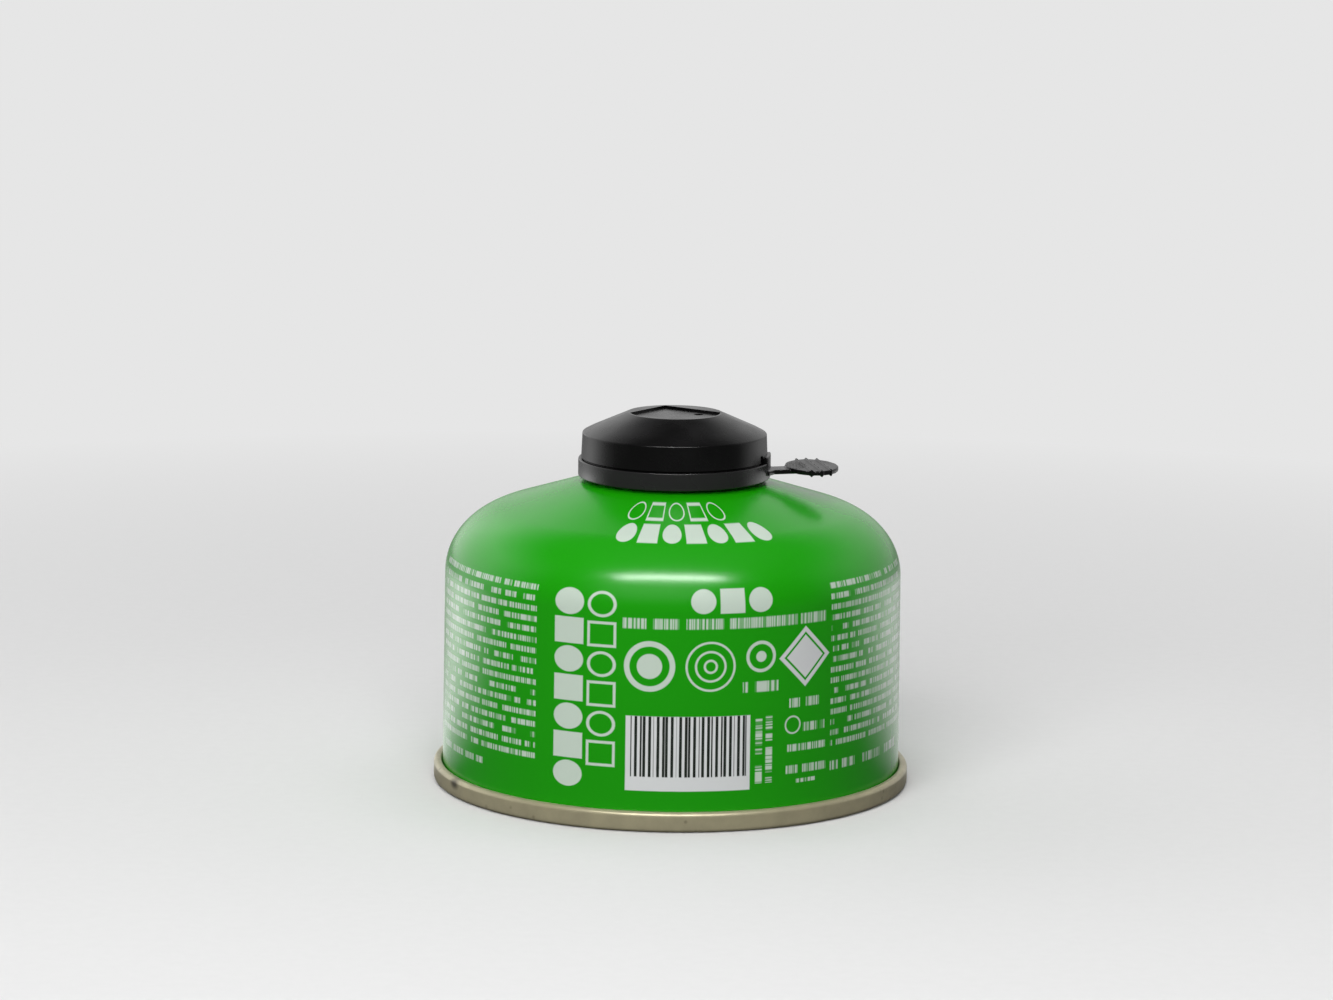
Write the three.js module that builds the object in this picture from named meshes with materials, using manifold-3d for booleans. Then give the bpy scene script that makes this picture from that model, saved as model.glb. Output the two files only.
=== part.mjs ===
// A small threaded gas canister with its press-fit cap in place: a drawn steel can with a domed shoulder,
// a seamed base, a crimped valve cup with a threaded post, a sprung valve stem, and a cap with a pull tab.
// Frame: millimetres, +Z up, origin on the ground at the middle of the ring that the can stands on.
// Seen from -Y, as in the usual front view, the cap's pull tab points to the right, along +X.
import * as THREE from "three";
import { mergeVertices } from "three/addons/utils/BufferGeometryUtils.js";
import Module from "manifold-3d";

// Can wall, shoulder and dome
const wallRadius = 43; // outside of the wall where the shoulder starts
const wallFlare = 0.3; // how much wider the wall is at its foot
const wallTop = 39.8; // height where the shoulder starts
const shoulderReach = 15.6; // level half-axis of the shoulder's curve
const shoulderRise = 13.4; // upright half-axis of the shoulder's curve
const domeSlope = THREE.MathUtils.degToRad(17.4); // slope of the dome above the shoulder
const canSheet = 0.4; // steel of the can's wall

// Seamed base
const hookThickness = 1.4; // folded seam outside the wall
const seamHeight = 3.65;
const seamRound = 0.6; // rounding of the seam's edges
const baseSheet = 0.5; // steel of the base
const panelDepth = 4.6; // ground to the panel's edge, inside the seam
const panelRise = 8; // how far the panel bulges up into the can
const panelCorner = 1; // rounding between the panel and the seam
const grooveFloor = 0.6; // metal of the seam under the can's wall

// Mouth of the can, a one-inch opening with a curled edge
const mouthRadius = 12.7;
const curlRadius = 1.2; // half the thickness of the curled edge
const neckRise = 1.55; // middle of the curl above the dome beside it

// Valve cup and its threaded post
const cupSheet = 0.4;
const gasketThickness = 0.35; // sealing ring between the curl and the cup
const cupDepth = 3; // middle of the curl to the cup's floor
const beadDrop = THREE.MathUtils.degToRad(25); // how far the crimped bead reaches round under its middle
const postRadius = 5.556; // crest of the 7/16 inch thread
const threadDepth = 0.55;
const postWall = 0.4;
const postHeight = 9.2; // cup's floor to the post's top
const postChamfer = 0.6;
const postHole = 1.6; // radius of the hole that the burner's pin enters

// Valve inside the post
const housingWall = 1.6;
const housingDepth = 8; // how far the housing hangs under the cup's floor
const inletRadius = 0.8;
const sealThickness = 1.4;
const sealHole = 1.35;
const stemRadius = 1.1;
const stemRecess = 0.6; // stem's top under the post's top
const stemFlange = 2.4;
const stemFlangeHeight = 1.2;
const stemTail = 6.4; // guide under the flange
const wireRadius = 0.22;
const springTurns = 6;

// Cap
const capClearance = 0.4; // round the crimped bead
const skirtWall = 1.1;
const bandStep = 0.55; // how far the lower band stands out
const bandHeight = 3.3;
const skirtHeight = 5; // band to the shoulder edge
const skirtDraft = 0.2;
const coneRise = 3.75;
const capTopRadius = 8.9;
const capRoof = 1.3;
const capOverDome = 1.1; // skirt's lower edge above the dome
const tearGroove = 0.3; // height and depth of the groove over the band
const snapRidge = 0.2; // inside the skirt's lower edge
const stopRibs = 8; // ribs under the roof that rest on the bead
const stopRibWidth = 1;
const stopRibReach = 2.9;
const recessDepth = 0.45;
const recessReach = 8.5; // middle of the top to the recess's round front edge and its corner
const recessCorner = THREE.MathUtils.degToRad(103); // azimuth of its right-angled corner, at the back
const recessLeft = THREE.MathUtils.degToRad(188); // azimuths where its straight sides end
const recessRight = THREE.MathUtils.degToRad(4);
const ventRadius = 0.9;
const ventOffset = 4.5;
const notchWidth = 1.2;
const notchHeight = 1.6;
const notchDepth = 0.7;
const notchAzimuth = THREE.MathUtils.degToRad(-21);

// Pull tab, moulded on the band
const tabAzimuth = THREE.MathUtils.degToRad(-3); // where the arm leaves the band
const tabTurn = THREE.MathUtils.degToRad(18); // arm's direction past straight out
const tabThickness = 0.85;
const tabLift = 0.9; // arm's underside above the band's lower edge
const armWidth = 4.4;
const padReach = 8.1; // band to the middle of the finger pad
const padLength = 10;
const padWidth = 11;
const padLift = 0.35; // pad above the arm
const padTilt = THREE.MathUtils.degToRad(3);
const gripRibs = 3;
const gripPitch = 1.95;
const gripFirst = -1.5; // first rib from the pad's middle
const gripRibWidth = 0.55;
const gripRibProud = 0.3;
const rootFrom = THREE.MathUtils.degToRad(-17); // thickened root of the tab on the band
const rootTo = THREE.MathUtils.degToRad(5);
const rootProud = 0.1;
const rootRise = 1.2; // root's top above the tear line

// Clearances and fineness
const sheetGap = 0.3; // between pieces that touch on the real can
const sealGap = 0.1; // on each side of the sealing ring
const wideSteps = 60;
const narrowSteps = 40;

const wasm = await Module();
wasm.setup();

// Points of an elliptical arc in the (radius, height) plane
function arc(r, z, halfR, halfZ, from, to, steps) {
  return Array.from({ length: steps + 1 }, (_, i) => {
    const a = from + ((to - from) * i) / steps;
    return new THREE.Vector2(r + halfR * Math.cos(a), z + halfZ * Math.sin(a));
  });
}

const point = (r, z) => new THREE.Vector2(r, z);
const quarter = Math.PI / 2;

// A profile turned about +Z, listed with the material on its left: outwards below, up, and inwards above
function turned(profile, steps) {
  const closed = profile[0].x > 0 ? [...profile, profile[0].clone()] : profile;
  const geometry = new THREE.LatheGeometry(closed, steps);
  return geometry.rotateX(quarter);
}

function toSolid(geometry) {
  const bare = geometry.clone();
  bare.deleteAttribute("normal");
  bare.deleteAttribute("uv");
  const merged = mergeVertices(bare, 1e-4);
  return new wasm.Manifold(
    new wasm.Mesh({
      numProp: 3,
      vertProperties: new Float32Array(merged.attributes.position.array),
      triVerts: new Uint32Array(merged.index.array),
    }),
  );
}

function toGeometry(solid) {
  const mesh = solid.getMesh();
  const geometry = new THREE.BufferGeometry();
  geometry.setAttribute("position", new THREE.BufferAttribute(mesh.vertProperties, 3));
  geometry.setIndex(new THREE.BufferAttribute(mesh.triVerts, 1));
  geometry.computeVertexNormals();
  return geometry;
}

// Heights and radii that several pieces share
const footRadius = wallRadius + wallFlare;
const seamRadius = footRadius + sheetGap + hookThickness;
const chuckOuter = footRadius - canSheet - sheetGap;
const chuckInner = chuckOuter - baseSheet;
const panelEdge = chuckInner - panelCorner;
const panelBall = (panelEdge ** 2 + panelRise ** 2) / (2 * panelRise);

// The shoulder's curve runs until it is as steep as the dome
const slopeTurn = Math.atan2(shoulderRise / shoulderReach, Math.tan(domeSlope));
const domeFoot = point(
  wallRadius - shoulderReach * (1 - Math.cos(slopeTurn)),
  wallTop + shoulderRise * Math.sin(slopeTurn),
);
const domeHeight = (r) => domeFoot.y + (domeFoot.x - r) * Math.tan(domeSlope);

const curlMiddle = mouthRadius + curlRadius;
const curlOuter = curlMiddle + curlRadius;
const curlHeight = domeHeight(curlOuter) + neckRise;
const beadInner = curlRadius + gasketThickness + 2 * sealGap; // about the curl's middle
const beadOuter = beadInner + cupSheet;
const beadRadius = curlMiddle + beadOuter;
const beadTop = curlHeight + beadOuter;

const cupFloor = curlHeight - cupDepth;
const postTop = cupFloor + postHeight;
const postBore = postRadius - threadDepth - postWall;
const housingRadius = postBore - sheetGap;
const housingFoot = cupFloor - housingDepth;
const sealTop = postTop - cupSheet - sealGap;
const sealFoot = sealTop - sealThickness;
const flangeTop = sealFoot - sealGap;
const flangeFoot = flangeTop - stemFlangeHeight;
const housingTop = sealFoot - sealGap;

const skirtInner = beadRadius + capClearance;
const skirtOuter = skirtInner + skirtWall;
const bandRadius = skirtOuter + bandStep;
const capFoot = domeHeight(bandRadius) + capOverDome;
const tearLine = capFoot + bandHeight;
const capEdge = tearLine + skirtHeight;
const capTop = capEdge + coneRise;
const coneTop = skirtOuter - skirtDraft;
const roofUnder = capTop - recessDepth - capRoof;
const tabFoot = capFoot + tabLift;

// Height of the base panel's arc at a radius, with its surface raised by a thickness
const panelArc = (raise, edge, steps) => {
  const ball = panelBall + raise;
  const reach = Math.asin(edge / ball);
  return arc(0, panelDepth + panelRise - panelBall, ball, ball, quarter, quarter - reach, steps);
};

const paint = new THREE.MeshStandardMaterial({ color: "#179a04", roughness: 0.3, metalness: 0.1 });
const tinplate = new THREE.MeshStandardMaterial({ color: "#a39c86", roughness: 0.35, metalness: 0.9 });
const cupMetal = new THREE.MeshStandardMaterial({ color: "#b9b2a0", roughness: 0.3, metalness: 0.95 });
const capPlastic = new THREE.MeshStandardMaterial({ color: "#1b1a1b", roughness: 0.35, metalness: 0 });
const valvePlastic = new THREE.MeshStandardMaterial({ color: "#dcdad2", roughness: 0.5, metalness: 0 });
const sealRubber = new THREE.MeshStandardMaterial({ color: "#2c2b2a", roughness: 0.8, metalness: 0 });
const springSteel = new THREE.MeshStandardMaterial({ color: "#9a9a98", roughness: 0.25, metalness: 1 });

// The sealed can. It can't be seen into, so it is solid but for the pocket that the valve hangs in.
function canBody() {
  const wallFoot = grooveFloor + sheetGap;
  const under = panelArc(baseSheet + sheetGap, panelEdge, 5);
  const wallInside = footRadius - canSheet;
  const pocketRadius = housingRadius + 2 * sheetGap;
  const pocketFoot = housingFoot - sheetGap;
  return turned(
    [
      ...under,
      point(wallInside, panelDepth + sheetGap - panelCorner / 2),
      point(wallInside, wallFoot),
      point(footRadius, wallFoot),
      point(footRadius, seamHeight + seamRound),
      ...arc(wallRadius - shoulderReach, wallTop, shoulderReach, shoulderRise, 0, slopeTurn, 9),
      point(curlOuter + neckRise / 2, domeHeight(curlOuter + neckRise / 2)),
      point(curlOuter, curlHeight - neckRise / 3),
      ...arc(curlMiddle, curlHeight, curlRadius, curlRadius, 0, 2 * quarter, 6),
      point(mouthRadius, cupFloor - cupSheet - sheetGap),
      point(pocketRadius, cupFloor - cupSheet - sheetGap),
      point(pocketRadius, pocketFoot),
      point(0, pocketFoot),
    ],
    wideSteps,
  );
}

// The base: a panel bulging into the can, and the seam folded over the can's wall
function baseEnd() {
  const skirtInside = footRadius + sheetGap;
  const chuckTop = panelDepth - panelCorner;
  return turned(
    [
      ...panelArc(0, panelEdge, 6),
      ...arc(panelEdge, chuckTop, panelCorner, panelCorner, quarter, 0, 2).slice(1),
      ...arc(chuckInner + seamRound, seamRound, seamRound, seamRound, 2 * quarter, 3 * quarter, 2),
      ...arc(seamRadius - seamRound, seamRound, seamRound, seamRound, -quarter, 0, 2),
      ...arc(seamRadius - seamRound, seamHeight - seamRound, seamRound, seamRound, 0, quarter, 2),
      point(skirtInside + seamRound / 2, seamHeight),
      point(skirtInside, seamHeight - seamRound / 2),
      point(skirtInside, grooveFloor),
      point(chuckOuter, grooveFloor),
      point(chuckOuter, chuckTop),
      ...panelArc(baseSheet, panelEdge, 5).reverse(),
    ],
    wideSteps,
  );
}

// The valve cup: a bead crimped over the can's curl, a floor, and the hollow threaded post in its middle
function valveCup() {
  const wallOuter = curlMiddle - beadInner;
  const wallInner = curlMiddle - beadOuter;
  const bend = 1;
  const over = arc(curlMiddle, curlHeight, beadOuter, beadOuter, -beadDrop, 2 * quarter, 9);
  const under = arc(curlMiddle, curlHeight, beadInner, beadInner, 2 * quarter, -beadDrop, 9);
  return turned(
    [
      ...over,
      ...arc(wallInner - bend, cupFloor + bend, bend, bend, 0, -quarter, 2),
      point(postRadius + bend, cupFloor),
      point(postRadius, cupFloor + bend),
      point(postRadius, postTop - postChamfer),
      point(postRadius - postChamfer, postTop),
      point(postHole, postTop),
      point(postHole, postTop - cupSheet),
      point(postBore, postTop - cupSheet),
      point(postBore, cupFloor - cupSheet),
      ...arc(wallOuter - bend, cupFloor - cupSheet + bend, bend, bend, -quarter, 0, 2),
      ...under,
    ],
    narrowSteps,
  );
}

// The sealing ring that lies over the curl, under the bead
function cupGasket() {
  const inner = curlRadius + sealGap;
  const outer = inner + gasketThickness;
  const from = THREE.MathUtils.degToRad(30);
  const to = THREE.MathUtils.degToRad(150);
  return turned(
    [
      ...arc(curlMiddle, curlHeight, outer, outer, from, to, 4),
      ...arc(curlMiddle, curlHeight, inner, inner, to, from, 4),
    ],
    narrowSteps,
  );
}

function stemSeal() {
  return turned(
    [
      point(sealHole, sealFoot),
      point(housingRadius, sealFoot),
      point(housingRadius, sealTop),
      point(sealHole, sealTop),
    ],
    narrowSteps,
  );
}

function valveHousing() {
  const bore = housingRadius - housingWall;
  const boreFoot = housingFoot + housingWall;
  return turned(
    [
      point(inletRadius, housingFoot),
      point(housingRadius, housingFoot),
      point(housingRadius, housingTop),
      point(bore, housingTop),
      point(bore, boreFoot),
      point(inletRadius, boreFoot),
    ],
    narrowSteps,
  );
}

function valveStem() {
  const tailRadius = stemRadius - sheetGap;
  return turned(
    [
      point(0, flangeFoot - stemTail),
      point(tailRadius, flangeFoot - stemTail),
      point(tailRadius, flangeFoot),
      point(stemFlange, flangeFoot),
      point(stemFlange, flangeTop),
      point(stemRadius, flangeTop),
      point(stemRadius, postTop - stemRecess),
      point(0, postTop - stemRecess),
    ],
    narrowSteps / 2,
  );
}

// The return spring, a coil between the housing's floor and the stem's flange
class Coil extends THREE.Curve {
  getPoint(t) {
    const foot = housingFoot + housingWall + wireRadius + sealGap;
    const top = flangeFoot - wireRadius - sealGap;
    const turn = 2 * Math.PI * springTurns * t;
    const radius = housingRadius - housingWall - wireRadius - sheetGap / 2;
    return new THREE.Vector3(radius * Math.cos(turn), radius * Math.sin(turn), foot + (top - foot) * t);
  }
}

function valveSpring() {
  const sides = 5;
  const section = new THREE.Shape(
    Array.from({ length: sides }, (_, i) => {
      const a = (2 * Math.PI * i) / sides;
      return new THREE.Vector2(wireRadius * Math.cos(a), wireRadius * Math.sin(a));
    }),
  );
  return new THREE.ExtrudeGeometry(section, { steps: springTurns * 12, extrudePath: new Coil() });
}

// The cap's turned shell: band, skirt, cone and roof, all one thickness
function capShell() {
  const edgeRound = 0.5;
  const slope = Math.atan2(coneRise, coneTop - capTopRadius);
  const coneUnder = capEdge + coneRise - (coneRise * (skirtInner - capTopRadius)) / (coneTop - capTopRadius);
  const underSkirt = coneUnder - capRoof / Math.cos(slope);
  const roofReach = capTopRadius - (roofUnder + capRoof / Math.cos(slope) - capTop) / Math.tan(slope);
  const ridge = capFoot + 2 * snapRidge;
  return turned(
    [
      point(0, roofUnder),
      point(roofReach, roofUnder),
      point(skirtInner, underSkirt),
      point(skirtInner, ridge + snapRidge),
      point(skirtInner - snapRidge, ridge),
      point(skirtInner + snapRidge, capFoot),
      point(bandRadius - snapRidge, capFoot),
      point(bandRadius, capFoot + snapRidge),
      point(bandRadius, tearLine - tearGroove / 2),
      point(bandRadius - tearGroove / 2, tearLine),
      point(skirtOuter - tearGroove, tearLine),
      point(skirtOuter, tearLine + tearGroove),
      ...arc(coneTop - edgeRound, capEdge - edgeRound, edgeRound, edgeRound, 0, quarter - slope, 3),
      point(capTopRadius, capTop),
      point(0, capTop),
    ],
    wideSteps,
  );
}

// One rib under the roof, which rests on the bead
function stopRib(i) {
  const foot = beadTop + sheetGap;
  const inner = skirtInner - stopRibReach;
  const outer = skirtInner + skirtWall / 2;
  const slope = coneRise / (coneTop - capTopRadius);
  const side = new THREE.Shape([
    point(inner, foot),
    point(outer, foot),
    point(outer, capEdge - capRoof / 2),
    point(inner, capEdge - capRoof / 2 + slope * (outer - inner)),
  ]);
  return new THREE.ExtrudeGeometry(side, { depth: stopRibWidth, bevelEnabled: false })
    .translate(0, 0, -stopRibWidth / 2)
    .rotateX(quarter)
    .rotateZ((2 * Math.PI * (i + 0.5)) / stopRibs);
}

// The recess in the top: a right-angled corner at the back, and a round edge at the front
function topRecess() {
  const outline = new THREE.Shape();
  outline.moveTo(recessReach * Math.cos(recessCorner), recessReach * Math.sin(recessCorner));
  outline.absarc(0, 0, recessReach, recessLeft, recessRight + 4 * quarter, false);
  return new THREE.ExtrudeGeometry(outline, { depth: capRoof, bevelEnabled: false, curveSegments: 24 })
    .translate(0, 0, capTop - recessDepth);
}

function ventHole() {
  return new THREE.CylinderGeometry(ventRadius, ventRadius, 3 * capRoof, 20)
    .rotateX(quarter)
    .translate(ventOffset, 0, capTop)
    .rotateZ(recessRight);
}

// The small notch over the band, where the tab's root starts
function tearNotch() {
  return new THREE.BoxGeometry(2 * notchDepth, notchWidth, notchHeight)
    .translate(skirtOuter, 0, tearLine + notchHeight / 2)
    .rotateZ(notchAzimuth);
}

// Moves a piece of the tab, drawn with x running out from the band, to its place on the cap
function onTab(geometry) {
  return geometry.rotateZ(tabTurn).translate(bandRadius, 0, tabFoot).rotateZ(tabAzimuth);
}

function tabArm() {
  const root = bandStep + skirtWall / 2;
  const length = padReach + root;
  const arm = new THREE.BoxGeometry(length, armWidth, tabThickness);
  return onTab(arm.translate(length / 2 - root, 0, tabThickness / 2));
}

function fingerPad() {
  const outline = new THREE.Shape();
  outline.absellipse(0, 0, padLength / 2, padWidth / 2, 0, 4 * quarter, false, 0);
  const plate = { depth: tabThickness, bevelEnabled: false, curveSegments: 18 };
  const pad = new THREE.ExtrudeGeometry(outline, plate);
  return onTab(pad.rotateX(padTilt).translate(padReach, 0, padLift));
}

// One grip rib, which wraps round the finger pad
function gripRib(i) {
  const offset = gripFirst + i * gripPitch;
  const halfChord = (padWidth / 2) * Math.sqrt(1 - (offset / (padLength / 2)) ** 2);
  const rib = new THREE.BoxGeometry(
    gripRibWidth,
    2 * (halfChord + gripRibProud),
    tabThickness + 2 * gripRibProud,
  );
  return onTab(rib.translate(offset, 0, tabThickness / 2).rotateX(padTilt).translate(padReach, 0, padLift));
}

// The thickened root on the band, beside the notch, that the arm grows from
function tabRoot() {
  const outline = new THREE.Shape();
  outline.absarc(0, 0, bandRadius + rootProud, rootFrom, rootTo, false);
  outline.absarc(0, 0, skirtInner + skirtWall / 2, rootTo, rootFrom, true);
  const depth = tearLine + rootRise - tabFoot;
  return new THREE.ExtrudeGeometry(outline, { depth, bevelEnabled: false, curveSegments: 5 })
    .translate(0, 0, tabFoot);
}

function cap() {
  let solid = toSolid(capShell());
  for (let i = 0; i < stopRibs; i++) {
    solid = solid.add(toSolid(stopRib(i)));
  }
  for (const growth of [tabRoot(), tabArm(), fingerPad()]) {
    solid = solid.add(toSolid(growth));
  }
  for (let i = 0; i < gripRibs; i++) {
    solid = solid.add(toSolid(gripRib(i)));
  }
  for (const hollow of [topRecess(), ventHole(), tearNotch()]) {
    solid = solid.subtract(toSolid(hollow));
  }
  return toGeometry(solid);
}

const canister = new THREE.Group();
const pieces = [
  ["can_body", canBody(), paint],
  ["base_end", baseEnd(), tinplate],
  ["valve_cup", valveCup(), cupMetal],
  ["cup_gasket", cupGasket(), sealRubber],
  ["stem_seal", stemSeal(), sealRubber],
  ["valve_housing", valveHousing(), valvePlastic],
  ["valve_stem", valveStem(), valvePlastic],
  ["valve_spring", valveSpring(), springSteel],
  ["cap", cap(), capPlastic],
];
for (const [name, geometry, material] of pieces) {
  const mesh = new THREE.Mesh(geometry, material);
  mesh.name = name;
  canister.add(mesh);
}

export default canister;
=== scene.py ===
# A small green gas canister with a black press-fit cap, seen from slightly above.
from math import asin, atan, atan2, cos, degrees, pi, radians, sin, sqrt, tan

import bmesh
import bpy
from mathutils import Matrix, Vector


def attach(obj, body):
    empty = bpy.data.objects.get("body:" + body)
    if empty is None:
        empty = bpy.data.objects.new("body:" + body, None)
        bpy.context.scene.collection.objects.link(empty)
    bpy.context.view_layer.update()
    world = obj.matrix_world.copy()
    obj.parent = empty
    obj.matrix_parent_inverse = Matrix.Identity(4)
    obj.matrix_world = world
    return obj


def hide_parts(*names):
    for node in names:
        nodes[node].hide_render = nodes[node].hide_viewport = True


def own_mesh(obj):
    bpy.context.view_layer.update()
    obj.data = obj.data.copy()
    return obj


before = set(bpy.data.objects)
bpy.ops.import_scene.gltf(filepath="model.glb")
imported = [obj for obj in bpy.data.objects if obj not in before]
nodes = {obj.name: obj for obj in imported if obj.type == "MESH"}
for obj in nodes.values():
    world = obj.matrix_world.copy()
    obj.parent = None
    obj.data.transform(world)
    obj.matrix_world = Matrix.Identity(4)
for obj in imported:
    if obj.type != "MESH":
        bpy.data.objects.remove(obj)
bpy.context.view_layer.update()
scene = bpy.context.scene
mm = 0.001


# camera: the photograph's place and lens, with the can leaning slightly clockwise in the frame
cameraLook = {
    "distance": 0.8624,
    "height": 0.2033,
    "aimHeight": 0.0313,
    "focalPixels": 4642.0,
    "aimPixel": (672.3, 614.8),
    "frame": (1333, 1000),
    "roll": 0.75,
}


def makeCamera(look):
    data = bpy.data.cameras.new("studioCamera")
    data.sensor_width = 36
    data.lens = 36 * look["focalPixels"] / look["frame"][0]
    camera = bpy.data.objects.new("studioCamera", data)
    scene.collection.objects.link(camera)
    place = Vector((0, -look["distance"], look["height"]))
    aim = Vector((0, 0, look["aimHeight"])) - place
    across = atan((look["aimPixel"][0] - look["frame"][0] / 2) / look["focalPixels"])
    down = atan((look["aimPixel"][1] - look["frame"][1] / 2) / look["focalPixels"])
    turn = aim.to_track_quat("-Z", "Y").to_matrix().to_4x4()
    turn = turn @ Matrix.Rotation(radians(look["roll"]), 4, "Z")
    turn = turn @ Matrix.Rotation(across, 4, "Y") @ Matrix.Rotation(down, 4, "X")
    camera.matrix_world = Matrix.Translation(place) @ turn
    scene.camera = camera


makeCamera(cameraLook)
print("camera in place")


# shapes: everything round is a profile spun about the can's axis
def arcPoints(r, z, halfR, halfZ, start, end, steps):
    points = []
    for i in range(steps + 1):
        a = radians(start + (end - start) * i / steps)
        points.append((r + halfR * cos(a), z + halfZ * sin(a)))
    return points


def spinProfile(bm, profile, steps, closed):
    verts = [bm.verts.new((r * mm, 0, z * mm)) for r, z in profile]
    edges = [bm.edges.new(pair) for pair in zip(verts, verts[1:])]
    if closed:
        edges.append(bm.edges.new((verts[-1], verts[0])))
    bmesh.ops.spin(bm, geom=verts + edges, cent=(0, 0, 0), axis=(0, 0, 1), angle=2 * pi,
                   steps=steps, use_merge=True)
    bmesh.ops.remove_doubles(bm, verts=bm.verts, dist=1e-7)
    bmesh.ops.recalc_face_normals(bm, faces=bm.faces)


def makePiece(name, bm, sharpAngle=38):
    mesh = bpy.data.meshes.new(name)
    bm.to_mesh(mesh)
    bm.free()
    mesh.shade_smooth()
    mesh.set_sharp_from_angle(angle=radians(sharpAngle))
    piece = bpy.data.objects.new(name, mesh)
    scene.collection.objects.link(piece)
    return piece


def spunPiece(name, profile, steps, closed=False):
    bm = bmesh.new()
    spinProfile(bm, profile, steps, closed)
    return makePiece(name, bm)


def applied(piece, sharpAngle=38):
    ready = piece.evaluated_get(bpy.context.evaluated_depsgraph_get())
    mesh = bpy.data.meshes.new_from_object(ready)
    piece.modifiers.clear()
    piece.data = mesh
    mesh.shade_smooth()
    mesh.set_sharp_from_angle(angle=radians(sharpAngle))
    return piece


def cutOrJoin(piece, tool, operation):
    change = piece.modifiers.new(operation, "BOOLEAN")
    change.operation = operation
    change.solver = "EXACT"
    change.object = tool
    applied(piece)
    bpy.data.objects.remove(tool)


# sizes shared by several pieces, in millimetres
can = {
    "wall": 43.0,
    "flare": 0.3,
    "sheet": 0.4,
    "hemFoot": 0.9,  # where the wall ends, inside the seam
    "wallFoot": 4.25,
    "wallTop": 39.8,
    "shoulder": (15.6, 13.4),
    "slope": 17.4,
    "slopeRings": (30, 27, 24, 21, 18.5, 16.6),
    "neck": (16.4, 0.9),  # where the neck's fillet starts, and its radius
    "seam": 45.0,
    "seamHeight": 3.65,
    "curlMiddle": 13.9,
    "curl": 1.2,
    "mouth": 12.7,
    "pocket": 4.9,  # room for the valve housing under the cup
    "pocketDepth": 7.6,
    "lidDrop": 0.7,  # from the cup's floor down to the shell's lid
    "neckRise": 1.55,
    "cupDepth": 3,
    "postHeight": 9.2,
    "segments": 256,
}
slopeTurn = atan2(can["shoulder"][1] / can["shoulder"][0], tan(radians(can["slope"])))
domeFootR = can["wall"] - can["shoulder"][0] * (1 - cos(slopeTurn))
domeFootZ = can["wallTop"] + can["shoulder"][1] * sin(slopeTurn)


def domeHeight(r):
    return domeFootZ + (domeFootR - r) * tan(radians(can["slope"]))


foot = can["wall"] + can["flare"]
curlOuter = can["curlMiddle"] + can["curl"]
curlHeight = domeHeight(curlOuter) + can["neckRise"]
cupFloor = curlHeight - can["cupDepth"]
postTop = cupFloor + can["postHeight"]


base = {
    "panel": 41.1,  # outer edge of the arched panel
    "panelFoot": 4.6,
    "panelRise": 8,
    "panelSteps": 24,
    "sheet": 0.5,
    "shellLift": 0.8,  # the can's own underside, over the panel's
    "hook": 42.6,  # inside of the turned-up wall that the seam folds over
    "hookFoot": 0.6,
    "footRounds": (0.6, 0.75),  # inside and outside of the rim's foot
    "topRounds": (0.85, 0.4),  # outside and inside of the seam's top
}


# the base's arched panel, from its middle outwards
def panelArc(edge, lift, steps):
    ball = (base["panel"] ** 2 + base["panelRise"] ** 2) / (2 * base["panelRise"])
    middle = base["panelFoot"] + base["panelRise"] - ball
    reach = degrees(asin(edge / (ball + lift)))
    return arcPoints(0, middle, ball + lift, ball + lift, 90, 90 - reach, steps)


def makeCanBody():
    shoulderR, shoulderZ = can["shoulder"]
    inner, hem, wallFoot = foot - can["sheet"], can["hemFoot"], can["wallFoot"]
    rise = can["wallTop"] - wallFoot
    profile = panelArc(base["panel"], base["shellLift"], base["panelSteps"])
    profile += [(inner, 4.4), (inner, hem), (foot, hem), (foot, 2.6), (foot, wallFoot)]
    for i in range(1, 12):
        z = wallFoot + rise * i / 12
        profile.append((can["wall"] + can["flare"] * (can["wallTop"] - z) / rise, z))
    profile += arcPoints(can["wall"] - shoulderR, can["wallTop"], shoulderR, shoulderZ, 0,
                         degrees(slopeTurn), 40)
    for r in can["slopeRings"]:
        profile.append((r, domeHeight(r)))
    neckR, fillet = can["neck"]
    profile += arcPoints(neckR, domeHeight(neckR) + fillet, fillet, fillet, 250, 200, 5)
    profile += arcPoints(can["curlMiddle"], curlHeight, can["curl"], can["curl"], -20, 180, 20)
    lidUnder = cupFloor - can["lidDrop"]
    profile += [(can["mouth"], lidUnder), (can["pocket"], lidUnder)]
    profile += [(can["pocket"], lidUnder - can["pocketDepth"]), (0, lidUnder - can["pocketDepth"])]
    return spunPiece("canBody", profile, can["segments"])


def makeBaseEnd():
    innerFoot, outerFoot = base["footRounds"]
    outerTop, innerTop = base["topRounds"]
    profile = panelArc(base["panel"] - base["sheet"], 0, base["panelSteps"])
    profile += arcPoints(base["panel"], 3.6, 1, 1, 80, 0, 6)
    profile += [(42.1, 2.4)]
    profile += arcPoints(42.7, innerFoot, innerFoot, innerFoot, 180, 270, 8)
    profile += arcPoints(can["seam"] - outerFoot, outerFoot, outerFoot, outerFoot, 270, 360, 10)
    profile += [(can["seam"], 1.7), (can["seam"] - 0.03, 2.3)]
    profile += arcPoints(can["seam"] - outerTop, can["seamHeight"] - outerTop, outerTop, outerTop, 4, 90, 10)
    profile += arcPoints(foot + 0.55, can["seamHeight"] - innerTop, innerTop, innerTop, 90, 180, 6)
    profile += [(foot + 0.15, base["hookFoot"]), (base["hook"], base["hookFoot"]), (base["hook"], 3.6)]
    profile += panelArc(base["panel"], base["sheet"], base["panelSteps"])[::-1]
    return spunPiece("baseEnd", profile, can["segments"])


canBody = makeCanBody()
baseEnd = makeBaseEnd()
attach(canBody, "can")
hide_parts("can_body")
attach(baseEnd, "can")
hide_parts("base_end")
print("can and base made")


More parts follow.
